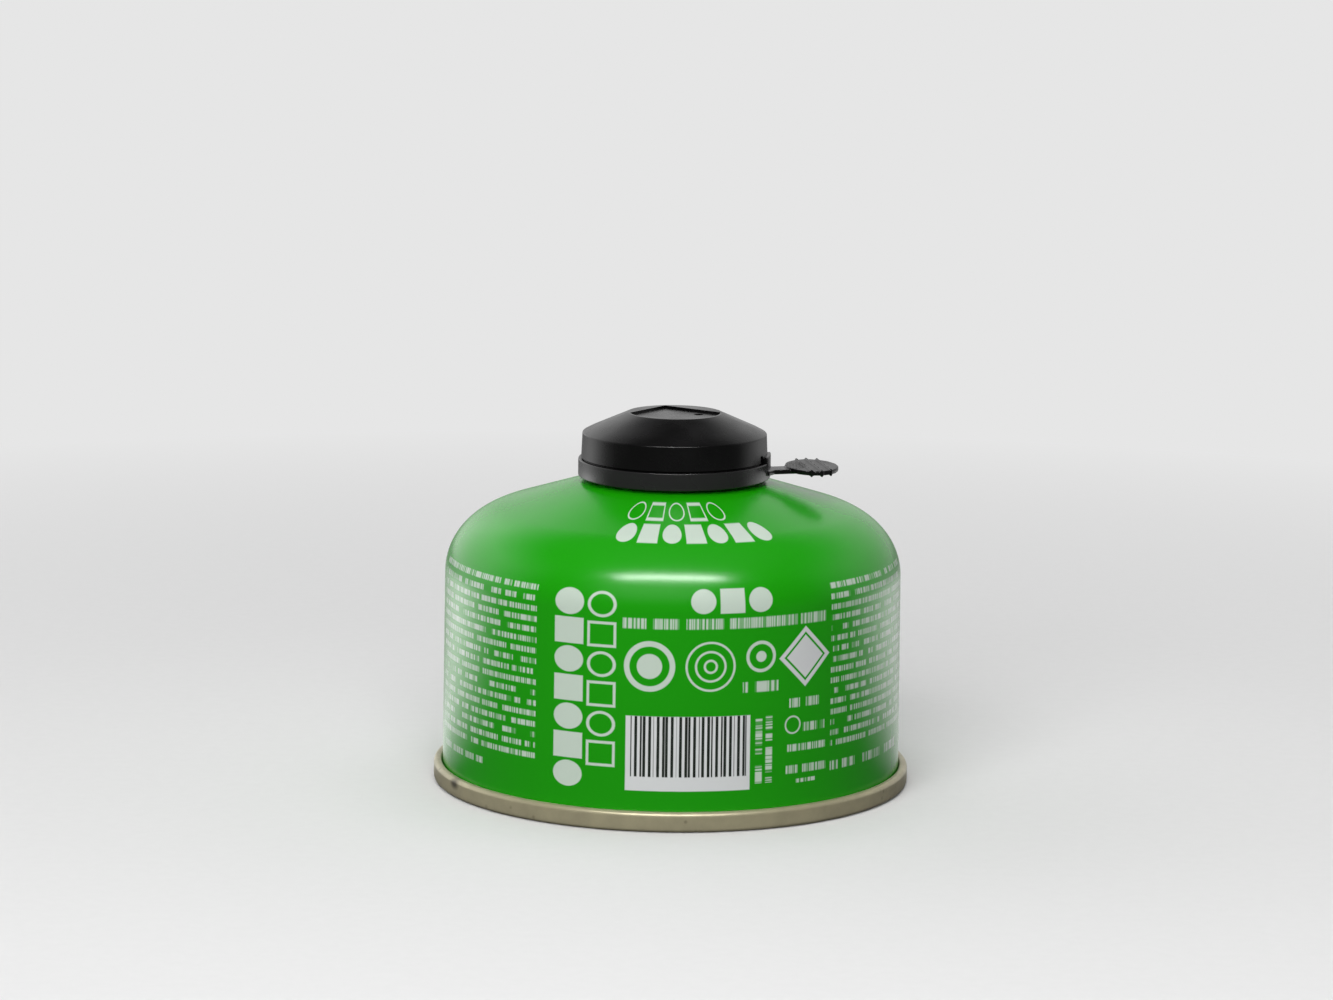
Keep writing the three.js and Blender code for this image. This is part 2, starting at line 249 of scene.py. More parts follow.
# valve: the crimped cup, its threaded post and the stem in the post's hole
valve = {
    "bead": 2.15,
    "beadInside": 1.75,
    "wallRound": 1,
    "rootRound": 0.9,
    "topRound": 0.35,
    "holeRound": 0.25,
    "post": 5.556,
    "threadDepth": 0.52,
    "threadTop": 1.0,  # from the post's top down to the last turn
    "pitch": 25.4 / 28,
    "ridge": (0.4, 0.36, 0.1),  # half the thread's width: sunk, at the root and at the crest
    "postInside": 4.606,
    "hole": 1.6,
    "sheet": 0.4,
    "turns": 7,
    "turnSteps": 56,
    "stem": 1.1,
    "stemTop": 0.6,  # how far the stem's top lies under the post's
    "stemLength": 9,
    "tail": 0.8,
    "flange": 2.4,
    "flangeTop": 1.4,
    "flangeFoot": 2.6,
    "press": 1.5,
}


def makeValveCup():
    m = can["curlMiddle"]
    root = valve["post"] - valve["threadDepth"]
    wall, low, top, lip = (valve[key] for key in ("wallRound", "rootRound", "topRound", "holeRound"))
    profile = arcPoints(m, curlHeight, valve["bead"], valve["bead"], -25, 180, 32)
    profile += arcPoints(m - valve["bead"] - wall, cupFloor + wall, wall, wall, 0, -90, 8)
    profile += arcPoints(root + low, cupFloor + low, low, low, 270, 180, 8)
    profile += arcPoints(root - top, postTop - top, top, top, 0, 90, 6)
    profile += arcPoints(valve["hole"] + lip, postTop - lip, lip, lip, 90, 180, 5)
    profile += [(valve["hole"], postTop - valve["sheet"]), (valve["postInside"], postTop - valve["sheet"]),
                (valve["postInside"], cupFloor - valve["sheet"])]
    profile += arcPoints(m - valve["beadInside"] - wall, cupFloor + (wall - valve["sheet"]), wall, wall,
                         -90, 0, 8)
    profile += arcPoints(m, curlHeight, valve["beadInside"], valve["beadInside"], 180, -25, 32)
    bm = bmesh.new()
    spinProfile(bm, profile, 192, True)
    cup = makePiece("valveCup", bm)
    # the rolled thread on the post
    bm = bmesh.new()
    turns = valve["turns"]
    startZ = postTop - valve["threadTop"] - turns * valve["pitch"]
    sunk, broad, crest = valve["ridge"]
    ridge = [(root - 0.15, -sunk), (root, -broad), (valve["post"] - 0.04, -crest), (valve["post"], 0),
             (valve["post"] - 0.04, crest), (root, broad), (root - 0.15, sunk)]
    verts = [bm.verts.new((r * mm, 0, (startZ + z) * mm)) for r, z in ridge]
    face = bm.faces.new(verts)
    bmesh.ops.spin(bm, geom=[face], cent=(0, 0, 0), axis=(0, 0, 1), angle=2 * pi * turns,
                   steps=valve["turnSteps"] * turns, dvec=(0, 0, valve["pitch"] * mm / valve["turnSteps"]),
                   use_merge=False)
    bmesh.ops.remove_doubles(bm, verts=bm.verts, dist=1e-7)
    bmesh.ops.recalc_face_normals(bm, faces=bm.faces)
    thread = makePiece("valveThread", bm, 60)
    return cup, thread


def makeValveStem():
    top = postTop - valve["stemTop"]
    end, under, over = top - valve["stemLength"], top - valve["flangeFoot"], top - valve["flangeTop"]
    profile = [(0, end), (valve["tail"], end), (valve["tail"], under), (valve["flange"], under),
               (valve["flange"], over), (valve["stem"], over)]
    profile += arcPoints(valve["stem"] - 0.2, top - 0.2, 0.2, 0.2, 0, 90, 4)
    profile += [(0.45, top), (0.4, top - 0.5), (0, top - 0.5)]
    return spunPiece("valveStem", profile, 64)


valveCup, valveThread = makeValveCup()
valveStem = makeValveStem()
for piece in (valveCup, valveThread):
    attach(piece, "can")
    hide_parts("valve_cup")
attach(valveStem, "stem")
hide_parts("valve_stem")
print("valve made")


# cap: a turned shell with a sunken top, and the pull tab grown from its lower band
cap = {
    "inside": 16.45,
    "skirt": 17.55,
    "band": 18.1,
    "bandHeight": 3.3,
    "skirtHeight": 5.0,
    "draft": 0.2,
    "coneRise": 3.75,
    "top": 8.9,
    "roof": 1.3,
    "groove": 0.3,
    "grip": 0.2,  # how far the foot's inner bead stands in
    "rounds": (0.25, 0.22, 0.3, 0.2),  # band's foot, band's top, skirt's top, roof's edge
    "recess": 8.5,
    "recessDepth": 0.45,
    "recessCorner": 103,
    "recessSides": (188, 4),
    "vent": (4.5, 0.9),
    "notch": (-21, 1.2, 1.6, 0.7),
    "ribs": 8,
    "rib": (3.4, 1),
    "ribInset": 1.2,
    "ribGaps": (0.3, 0.8),  # over the mouth's bead, and under the skirt's top
    "segments": 240,
}
capFoot = domeHeight(cap["band"]) + 1.1
tearLine = capFoot + cap["bandHeight"]
capEdge = tearLine + cap["skirtHeight"]
capTop = capEdge + cap["coneRise"]
coneTop = cap["skirt"] - cap["draft"]
coneSlope = degrees(atan2(cap["coneRise"], coneTop - cap["top"]))


def makeCapShell():
    g = cap["groove"]
    footRound, bandRound, edgeRound, topRound = cap["rounds"]
    roofUnder = capTop - cap["recessDepth"] - cap["roof"]
    wallUnder = capEdge + cap["coneRise"] * (coneTop - cap["inside"]) / (coneTop - cap["top"])
    wallUnder -= cap["roof"] / cos(radians(coneSlope))
    roofReach = cap["inside"] - (roofUnder - wallUnder) / tan(radians(coneSlope))
    inner = [(0, roofUnder), (roofReach, roofUnder), (cap["inside"], wallUnder)]
    inner += [(cap["inside"], capFoot + 0.7), (cap["inside"] - cap["grip"], capFoot + 0.4)]
    inner += [(cap["inside"] + 0.2, capFoot)]
    outer = arcPoints(cap["band"] - footRound, capFoot + footRound, footRound, footRound, -90, 0, 5)
    outer += [(cap["band"], capFoot + 1.6)]
    outer += arcPoints(cap["band"] - bandRound, tearLine - bandRound, bandRound, bandRound, 0, 90, 5)
    outer += [(cap["skirt"] - g, tearLine), (cap["skirt"] - g, tearLine + 0.08)]
    outer += [(cap["skirt"], tearLine + g)]
    outer += [(cap["skirt"] - cap["draft"] / 2, tearLine + cap["skirtHeight"] / 2)]
    outer += arcPoints(coneTop - edgeRound, capEdge - edgeRound, edgeRound, edgeRound, 0, 90 - coneSlope, 7)
    for i in range(1, 6):
        r = coneTop + (cap["top"] - coneTop) * i / 6
        outer.append((r, capEdge + (coneTop - r) * tan(radians(coneSlope))))
    outer += arcPoints(cap["top"] - 0.05, capTop - topRound, topRound, topRound, 90 - coneSlope, 90, 4)
    outer += [(0, capTop)]
    return spunPiece("capShell", inner + outer, cap["segments"])


# a flat wedge with a round front, as deep as the cap's sunken top
def recessTool():
    left, right = cap["recessSides"]
    reach = cap["recess"]
    bm = bmesh.new()
    rim = arcPoints(0, 0, reach, reach, left, right + 360, 72)
    rim.append((reach * cos(radians(cap["recessCorner"])), reach * sin(radians(cap["recessCorner"]))))
    face = bm.faces.new([bm.verts.new((x * mm, y * mm, (capTop - cap["recessDepth"]) * mm)) for x, y in rim])
    grown = bmesh.ops.extrude_face_region(bm, geom=[face])
    risen = [v for v in grown["geom"] if isinstance(v, bmesh.types.BMVert)]
    bmesh.ops.translate(bm, verts=risen, vec=(0, 0, 1.2 * mm))
    bmesh.ops.recalc_face_normals(bm, faces=bm.faces)
    return makePiece("recessTool", bm)


def blockTool(size, place, azimuth, tilt=0):
    bm = bmesh.new()
    bmesh.ops.create_cube(bm, size=1)
    bmesh.ops.scale(bm, vec=[s * mm for s in size], verts=bm.verts)
    bmesh.ops.rotate(bm, verts=bm.verts, cent=(0, 0, 0), matrix=Matrix.Rotation(radians(tilt), 3, "X"))
    bmesh.ops.translate(bm, verts=bm.verts, vec=[p * mm for p in place])
    bmesh.ops.rotate(bm, verts=bm.verts, cent=(0, 0, 0), matrix=Matrix.Rotation(radians(azimuth), 3, "Z"))
    return makePiece("blockTool", bm)


def holeTool(radius, offset, azimuth):
    bm = bmesh.new()
    bmesh.ops.create_cone(bm, cap_ends=True, segments=40, radius1=radius * mm, radius2=radius * mm,
                          depth=4 * mm)
    bmesh.ops.translate(bm, verts=bm.verts, vec=(offset * mm, 0, capTop * mm))
    bmesh.ops.rotate(bm, verts=bm.verts, cent=(0, 0, 0), matrix=Matrix.Rotation(radians(azimuth), 3, "Z"))
    return makePiece("holeTool", bm)


def makeCap():
    shell = makeCapShell()
    overBead, underEdge = cap["ribGaps"]
    ribFoot = curlHeight + valve["bead"] + overBead
    ribHeight = capEdge - underEdge - ribFoot
    place = (cap["inside"] - cap["ribInset"], 0, ribFoot + ribHeight / 2)
    for i in range(cap["ribs"]):
        cutOrJoin(shell, blockTool((*cap["rib"], ribHeight), place, 360 / cap["ribs"] * (i + 0.5)), "UNION")
    cutOrJoin(shell, recessTool(), "DIFFERENCE")
    cutOrJoin(shell, holeTool(cap["vent"][1], cap["vent"][0], cap["recessSides"][1]), "DIFFERENCE")
    azimuth, width, height, depth = cap["notch"]
    slot = blockTool((2 * depth, width, height), (cap["skirt"], 0, tearLine + height / 2), azimuth)
    cutOrJoin(shell, slot, "DIFFERENCE")
    return shell


# pull tab: arm, finger pad and grip ribs are fused on a fine voxel grid, then softened
tab = {
    "azimuth": -3,
    "turn": 18,
    "thickness": 0.85,
    "foot": capFoot + 0.9,
    "armWidth": 4.3,
    "reach": 8.1,
    "armSunk": 1.0,
    "pad": (10.0, 11.0),
    "padLift": 0.35,
    "padTilt": 3,
    "ribPlaces": (-1.5, 0.45, 2.4),
    "ribWidth": 0.6,
    "ribProud": 0.32,
    "ribOver": 0.15,  # past the pad's edge, at each end
    "root": (-17, 5),
    "rootSteps": 14,
    "rootSides": (0.5, 0.06),  # inside the skirt, and proud of the band
    "rootRise": 1.2,
    "web": (1.9, 3.2),
    "webPlace": (17.75, -3.1),
    "webTurn": -28,
    "voxel": 0.13,
}


def onTab(verts, bm):
    bmesh.ops.rotate(bm, verts=verts, cent=(0, 0, 0), matrix=Matrix.Rotation(radians(tab["turn"]), 3, "Z"))
    bmesh.ops.translate(bm, verts=verts, vec=(cap["band"] * mm, 0, tab["foot"] * mm))
    bmesh.ops.rotate(bm, verts=verts, cent=(0, 0, 0), matrix=Matrix.Rotation(radians(tab["azimuth"]), 3, "Z"))


def makePullTab():
    bm = bmesh.new()
    t = tab["thickness"]
    tilt = Matrix.Rotation(radians(tab["padTilt"]), 3, "X")
    arm = bmesh.ops.create_cube(bm, size=1)["verts"]
    length = tab["reach"] + tab["armSunk"]
    bmesh.ops.scale(bm, vec=(length * mm, tab["armWidth"] * mm, t * mm), verts=arm)
    bmesh.ops.translate(bm, verts=arm, vec=((length / 2 - tab["armSunk"]) * mm, 0, t / 2 * mm))
    onTab(arm, bm)
    pad = bmesh.ops.create_cone(bm, cap_ends=True, segments=72, radius1=0.5, radius2=0.5, depth=1)["verts"]
    bmesh.ops.scale(bm, vec=(tab["pad"][0] * mm, tab["pad"][1] * mm, t * mm), verts=pad)
    bmesh.ops.translate(bm, verts=pad, vec=(0, 0, t / 2 * mm))
    bmesh.ops.rotate(bm, verts=pad, cent=(0, 0, 0), matrix=tilt)
    bmesh.ops.translate(bm, verts=pad, vec=(tab["reach"] * mm, 0, tab["padLift"] * mm))
    onTab(pad, bm)
    for offset in tab["ribPlaces"]:
        half = tab["pad"][1] / 2 * sqrt(1 - (offset / (tab["pad"][0] / 2)) ** 2) + tab["ribOver"]
        made = bmesh.ops.create_cone(bm, cap_ends=True, segments=16, radius1=0.5, radius2=0.5, depth=1)
        rib = made["verts"]
        bmesh.ops.rotate(bm, verts=rib, cent=(0, 0, 0), matrix=Matrix.Rotation(pi / 2, 3, "X"))
        ribTall = t + 2 * tab["ribProud"]
        bmesh.ops.scale(bm, vec=(tab["ribWidth"] * mm, 2 * half * mm, ribTall * mm), verts=rib)
        bmesh.ops.translate(bm, verts=rib, vec=(offset * mm, 0, t / 2 * mm))
        bmesh.ops.rotate(bm, verts=rib, cent=(0, 0, 0), matrix=tilt)
        bmesh.ops.translate(bm, verts=rib, vec=(tab["reach"] * mm, 0, tab["padLift"] * mm))
        onTab(rib, bm)
    # the root hugs the band, from the notch to the arm, and rises over the tear line
    start, end = tab["root"]
    sunk, proud = tab["rootSides"]
    inside, outside, rootTop = cap["skirt"] - sunk, cap["band"] + proud, tearLine + tab["rootRise"]
    section = [(inside, tab["foot"]), (outside, tab["foot"]), (outside, rootTop), (inside, rootTop)]
    verts = []
    for r, z in section:
        verts.append(bm.verts.new((r * mm * cos(radians(start)), r * mm * sin(radians(start)), z * mm)))
    face = bm.faces.new(verts)
    bmesh.ops.spin(bm, geom=[face], cent=(0, 0, 0), axis=(0, 0, 1), angle=radians(end - start),
                   steps=tab["rootSteps"], use_merge=False)
    # a web fills the corner between the band and the front of the arm
    web = bmesh.ops.create_cube(bm, size=1)["verts"]
    (webLong, webWide), (webX, webY) = tab["web"], tab["webPlace"]
    bmesh.ops.scale(bm, vec=(webLong * mm, webWide * mm, t * mm), verts=web)
    bmesh.ops.translate(bm, verts=web, vec=(0, 0, t / 2 * mm))
    bmesh.ops.rotate(bm, verts=web, cent=(0, 0, 0), matrix=Matrix.Rotation(radians(tab["webTurn"]), 3, "Z"))
    bmesh.ops.translate(bm, verts=web, vec=(webX * mm, webY * mm, tab["foot"] * mm))
    bmesh.ops.recalc_face_normals(bm, faces=bm.faces)
    piece = makePiece("pullTab", bm)
    fuse = piece.modifiers.new("fuse", "REMESH")
    fuse.mode = "VOXEL"
    fuse.voxel_size = tab["voxel"] * mm
    soften = piece.modifiers.new("soften", "SMOOTH")
    soften.factor = 0.5
    soften.iterations = 5
    return applied(piece, 80)


capShell = makeCap()
pullTab = makePullTab()
for piece in (capShell, pullTab):
    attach(piece, "cover")
    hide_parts("cap")
print("cap and pull tab made", len(capShell.data.polygons), len(pullTab.data.polygons))


# node helpers: each call adds one node and returns its output
class Graph:
    def __init__(self, tree):
        self.tree = tree

    def node(self, kind, **settings):
        made = self.tree.nodes.new(kind)
        for key, value in settings.items():
            setattr(made, key, value)
        return made

    def feed(self, socket, value):
        if isinstance(value, bpy.types.NodeSocket):
            self.tree.links.new(value, socket)
        elif value is not None:
            socket.default_value = value

    def math(self, operation, a, b=None, c=None, clamp=False):
        made = self.node("ShaderNodeMath", operation=operation, use_clamp=clamp)
        for socket, value in zip(made.inputs, (a, b, c)):
            self.feed(socket, value)
        return made.outputs[0]

    def mix(self, amount, a, b):
        made = self.node("ShaderNodeMix", data_type="RGBA")
        self.feed(made.inputs["Factor"], amount)
        self.feed(made.inputs["A"], a)
        self.feed(made.inputs["B"], b)
        return made.outputs["Result"]

    def span(self, value, low, high, toLow=0.0, toHigh=1.0):
        made = self.node("ShaderNodeMapRange")
        for socket, item in zip(made.inputs, (value, low, high, toLow, toHigh)):
            self.feed(socket, item)
        return made.outputs[0]

    def noise(self, vector, scale, detail=2.0, rough=0.5):
        made = self.node("ShaderNodeTexNoise")
        self.feed(made.inputs["Vector"], vector)
        made.inputs["Scale"].default_value = scale
        made.inputs["Detail"].default_value = detail
        made.inputs["Roughness"].default_value = rough
        return made.outputs["Fac"]

    def group(self, tree, **values):
        made = self.node("ShaderNodeGroup")
        made.node_tree = tree
        for key, value in values.items():
            self.feed(made.inputs[key], value)
        return made.outputs


def newGroup(name, inputs, outputs):
    tree = bpy.data.node_groups.new(name, "ShaderNodeTree")
    for label in inputs:
        kind = "NodeSocketVector" if label == "Vector" else "NodeSocketFloat"
        tree.interface.new_socket(label, in_out="INPUT", socket_type=kind)
    for label in outputs:
        tree.interface.new_socket(label, in_out="OUTPUT", socket_type="NodeSocketFloat")
    graph = Graph(tree)
    return graph, graph.node("NodeGroupInput").outputs, graph.node("NodeGroupOutput").inputs


def makeGroups():
    groups = {}
    # where a point lies on the can's wall: millimetres round from the front, and up
    g, given, out = newGroup("wallPlace", ["Vector"], ["Across", "Height"])
    split = g.node("ShaderNodeSeparateXYZ")
    g.feed(split.inputs[0], given["Vector"])
    bearing = g.math("ARCTAN2", split.outputs["X"], g.math("MULTIPLY", split.outputs["Y"], -1))
    g.feed(out["Across"], g.math("MULTIPLY", bearing, can["wall"]))
    g.feed(out["Height"], g.math("MULTIPLY", split.outputs["Z"], 1000))
    groups["wallPlace"] = g.tree
    # a rectangle, lying Middle Across and Middle Up, as distance outside it
    names = ["Across", "Height", "Middle Across", "Middle Up", "Half Width", "Half Height"]
    g, given, out = newGroup("blockPrint", names, ["Distance"])
    dx = g.math("SUBTRACT", g.math("ABSOLUTE", g.math("SUBTRACT", given["Across"], given["Middle Across"])),
                given["Half Width"])
    dy = g.math("SUBTRACT", g.math("ABSOLUTE", g.math("SUBTRACT", given["Height"], given["Middle Up"])),
                given["Half Height"])
    g.feed(out["Distance"], g.math("MAXIMUM", dx, dy))
    groups["blockPrint"] = g.tree
    # a disc in the same terms
    names = ["Across", "Height", "Middle Across", "Middle Up", "Radius"]
    g, given, out = newGroup("discPrint", names, ["Distance"])
    dx = g.math("SUBTRACT", given["Across"], given["Middle Across"])
    dy = g.math("SUBTRACT", given["Height"], given["Middle Up"])
    far = g.math("SQRT", g.math("ADD", g.math("MULTIPLY", dx, dx), g.math("MULTIPLY", dy, dy)))
    g.feed(out["Distance"], g.math("SUBTRACT", far, given["Radius"]))
    groups["discPrint"] = g.tree
    # a diamond
    names = ["Across", "Height", "Middle Across", "Middle Up", "Half"]
    g, given, out = newGroup("diamondPrint", names, ["Distance"])
    dx = g.math("ABSOLUTE", g.math("SUBTRACT", given["Across"], given["Middle Across"]))
    dy = g.math("ABSOLUTE", g.math("SUBTRACT", given["Height"], given["Middle Up"]))
    beyond = g.math("SUBTRACT", g.math("ADD", dx, dy), given["Half"])
    g.feed(out["Distance"], g.math("MULTIPLY", beyond, 0.707))
    groups["diamondPrint"] = g.tree
    # a line of marks: Along counts from the first mark, Side is measured from the line's middle
    names = ["Along", "Side", "Pitch", "Count", "Half Size", "Half Height"]
    g, given, out = newGroup("markLine", names, ["Distance"])
    cell = g.math("FLOOR", g.math("DIVIDE", given["Along"], given["Pitch"]))
    inCell = g.math("SUBTRACT", given["Along"], g.math("MULTIPLY", g.math("ADD", cell, 0.5), given["Pitch"]))
    odd = g.math("MODULO", g.math("ABSOLUTE", cell), 2)
    side = g.math("ABSOLUTE", given["Side"])
    block = g.math("MAXIMUM", g.math("SUBTRACT", g.math("ABSOLUTE", inCell), given["Half Size"]),
                   g.math("SUBTRACT", side, given["Half Height"]))
    stretch = g.math("DIVIDE", given["Half Size"], given["Half Height"])
    flat = g.math("MULTIPLY", given["Side"], stretch)
    lens = g.math("SUBTRACT", g.math("SQRT", g.math("ADD", g.math("MULTIPLY", inCell, inCell),
                                                    g.math("MULTIPLY", flat, flat))), given["Half Size"])
    even = g.math("SUBTRACT", 1, odd)
    shape = g.math("ADD", g.math("MULTIPLY", block, odd), g.math("MULTIPLY", lens, even))
    ends = g.math("MAXIMUM", g.math("MULTIPLY", given["Along"], -1),
                  g.math("SUBTRACT", given["Along"], g.math("MULTIPLY", given["Pitch"], given["Count"])))
    g.feed(out["Distance"], g.math("MAXIMUM", shape, ends))
    groups["markLine"] = g.tree
    # rows of short dashes, in a field that is Width by Tall and starts at its top left
    names = ["Along", "Down", "Width", "Tall", "Pitch", "Fill", "Seed"]
    g, given, out = newGroup("dashRows", names, ["Mask"])
    row = g.math("FLOOR", g.math("DIVIDE", given["Down"], given["Pitch"]))
    inRow = g.math("SUBTRACT", g.math("DIVIDE", given["Down"], given["Pitch"]), row)
    bar = g.span(g.math("ABSOLUTE", g.math("SUBTRACT", inRow, 0.45)), g.math("MULTIPLY", given["Fill"], 0.5),
                 g.math("ADD", g.math("MULTIPLY", given["Fill"], 0.5), 0.1), 1, 0)
    seed = g.math("ADD", g.math("MULTIPLY", row, 17.31), given["Seed"])
    where = g.node("ShaderNodeCombineXYZ")
    g.feed(where.inputs["X"], g.math("MULTIPLY", given["Along"], 0.5))
    g.feed(where.inputs["Y"], seed)
    words = g.noise(where.outputs[0], 1.0, 0.0)
    gaps = g.span(words, 0.36, 0.39)
    fine = g.node("ShaderNodeCombineXYZ")
    g.feed(fine.inputs["X"], g.math("MULTIPLY", given["Along"], 2.9))
    g.feed(fine.inputs["Y"], seed)
    strokes = g.span(g.noise(fine.outputs[0], 1.0, 0.0), 0.4, 0.56, 0.12, 0.95)
    fieldX = g.math("MULTIPLY", g.math("GREATER_THAN", given["Along"], 0),
                    g.math("LESS_THAN", given["Along"], given["Width"]))
    fieldY = g.math("MULTIPLY", g.math("GREATER_THAN", given["Down"], 0),
                    g.math("LESS_THAN", given["Down"], given["Tall"]))
    mask = g.math("MULTIPLY", g.math("MULTIPLY", bar, gaps), g.math("MULTIPLY", fieldX, fieldY))
    g.feed(out["Mask"], g.math("MULTIPLY", mask, strokes))
    groups["dashRows"] = g.tree
    # fine grain, around a middle of 0.5
    g, given, out = newGroup("fineGrain", ["Vector", "Scale", "Amount"], ["Value"])
    grain = g.node("ShaderNodeTexNoise")
    g.feed(grain.inputs["Vector"], given["Vector"])
    g.feed(grain.inputs["Scale"], given["Scale"])
    grain.inputs["Detail"].default_value = 3
    centred = g.math("SUBTRACT", grain.outputs["Fac"], 0.5)
    g.feed(out["Value"], g.math("ADD", g.math("MULTIPLY", centred, given["Amount"]), 0.5))
    groups["fineGrain"] = g.tree
    return groups


groups = makeGroups()


def newMaterial(name):
    material = bpy.data.materials.new(name)
    material.use_nodes = True
    graph = Graph(material.node_tree)
    shader = material.node_tree.nodes["Principled BSDF"]
    place = graph.node("ShaderNodeTexCoord").outputs["Object"]
    return material, graph, shader, place


def addBump(graph, shader, height, distance, strength=1.0):
    bump = graph.node("ShaderNodeBump")
    bump.inputs["Strength"].default_value = strength
    bump.inputs["Distance"].default_value = distance
    graph.feed(bump.inputs["Height"], height)
    graph.feed(shader.inputs["Normal"], bump.outputs["Normal"])


paintLook = {
    "green": (0.009, 0.35, 0.0012, 1),
    # a darker green, used both for painted shade low on the wall and for the paint's random mottle
    "greenMottleAndShade": (0.008, 0.275, 0.001, 1),
    "print": (0.60, 0.70, 0.61, 1),
    "panel": (0.70, 0.72, 0.72, 1),
    "bars": (0.02, 0.025, 0.02, 1),
    "roughness": 0.22,
    "edge": 0.08,
    "domeEdge": 0.07,
}


# the print, in millimetres round the wall from the front and up from the ground
printLayout = {
    "markTop": 44.0,
    # upright rows of marks: middle, pitch, count, half the size along and across, line where outlined
    "uprightMarks": [(-19.3, 5.3, 7, 2.4, 2.9), (-12.9, 5.5, 6, 2.35, 2.75, 0.5)],
    # level rows: left end, middle, and the same again
    "levelMarks": [(3.0, 42.2, 5.4, 3, 2.3, 2.2)],
    "domeMarks": [(-15.5, 55.25, 6.6, 5, 2.6, 1.1, 0.36), (-14.3, 52.6, 5.6, 7, 2.3, 1.15)],
    # middle, radius, line
    "rings": [(-4.0, 30.3, 4.65, 1.0), (7.1, 30.3, 4.6, 0.4), (7.1, 30.3, 2.9, 0.4), (7.1, 30.3, 1.3, 0.4),
              (16.6, 31.8, 2.9, 0.6), (23.2, 18.6, 1.7, 0.3)],
    "dots": [(16.6, 31.8, 1.0), (-4.0, 30.3, 2.3)],
    # left, top, width, height, row pitch, share of a row that is filled, seed
    "dashFields": [
        (-9.0, 39.2, 39.6, 2.4, 2.4, 0.7, 3.1),
        (-60.0, 43.9, 33.8, 33.1, 1.95, 0.42, 9.2),
        (-58.0, 9.4, 18.0, 1.7, 1.7, 0.6, 2.9),
        (31.9, 44.2, 30.0, 31.2, 1.95, 0.42, 4.4),
        (31.9, 10.8, 26.0, 2.1, 2.1, 0.7, 6.6),
        (66.5, 44.2, 30.0, 34.0, 1.95, 0.42, 7.3),
        (101.0, 44.2, 28.0, 25.0, 1.95, 0.42, 2.1),
        (-95.5, 43.9, 31.0, 34.0, 1.95, 0.42, 5.9),
        (-129.0, 43.9, 29.0, 29.0, 1.95, 0.42, 8.8),
        (13.1, 27.3, 7.0, 2.3, 2.3, 0.75, 1.7),
        (22.4, 23.6, 6.6, 2.1, 2.1, 0.7, 7.9),
        (25.4, 18.9, 5.0, 2.0, 2.0, 0.7, 2.2),
        (22.0, 15.2, 8.6, 2.0, 2.0, 0.55, 5.8),
        (21.8, 11.2, 9.0, 2.0, 2.0, 0.65, 8.1),
        (24.0, 8.6, 5.0, 1.2, 1.2, 0.5, 3.3),
    ],
    "uprightDashes": (15.4, 20.7, 12.4, 4.0, 2.0, 0.55, 8.5),
    # middle, width, height
    "panel": (3.2, 14.2, 22.8, 13.8),
    "bars": (3.3, 15.5, 21.2, 11.2),
    "barWaves": (4.7, 7.7),  # two waves that beat into uneven bars
    "diamond": (25.8, 31.1, 5.6),
    "diamondLine": (0.75, 0.4),  # how far in, and how thick
}


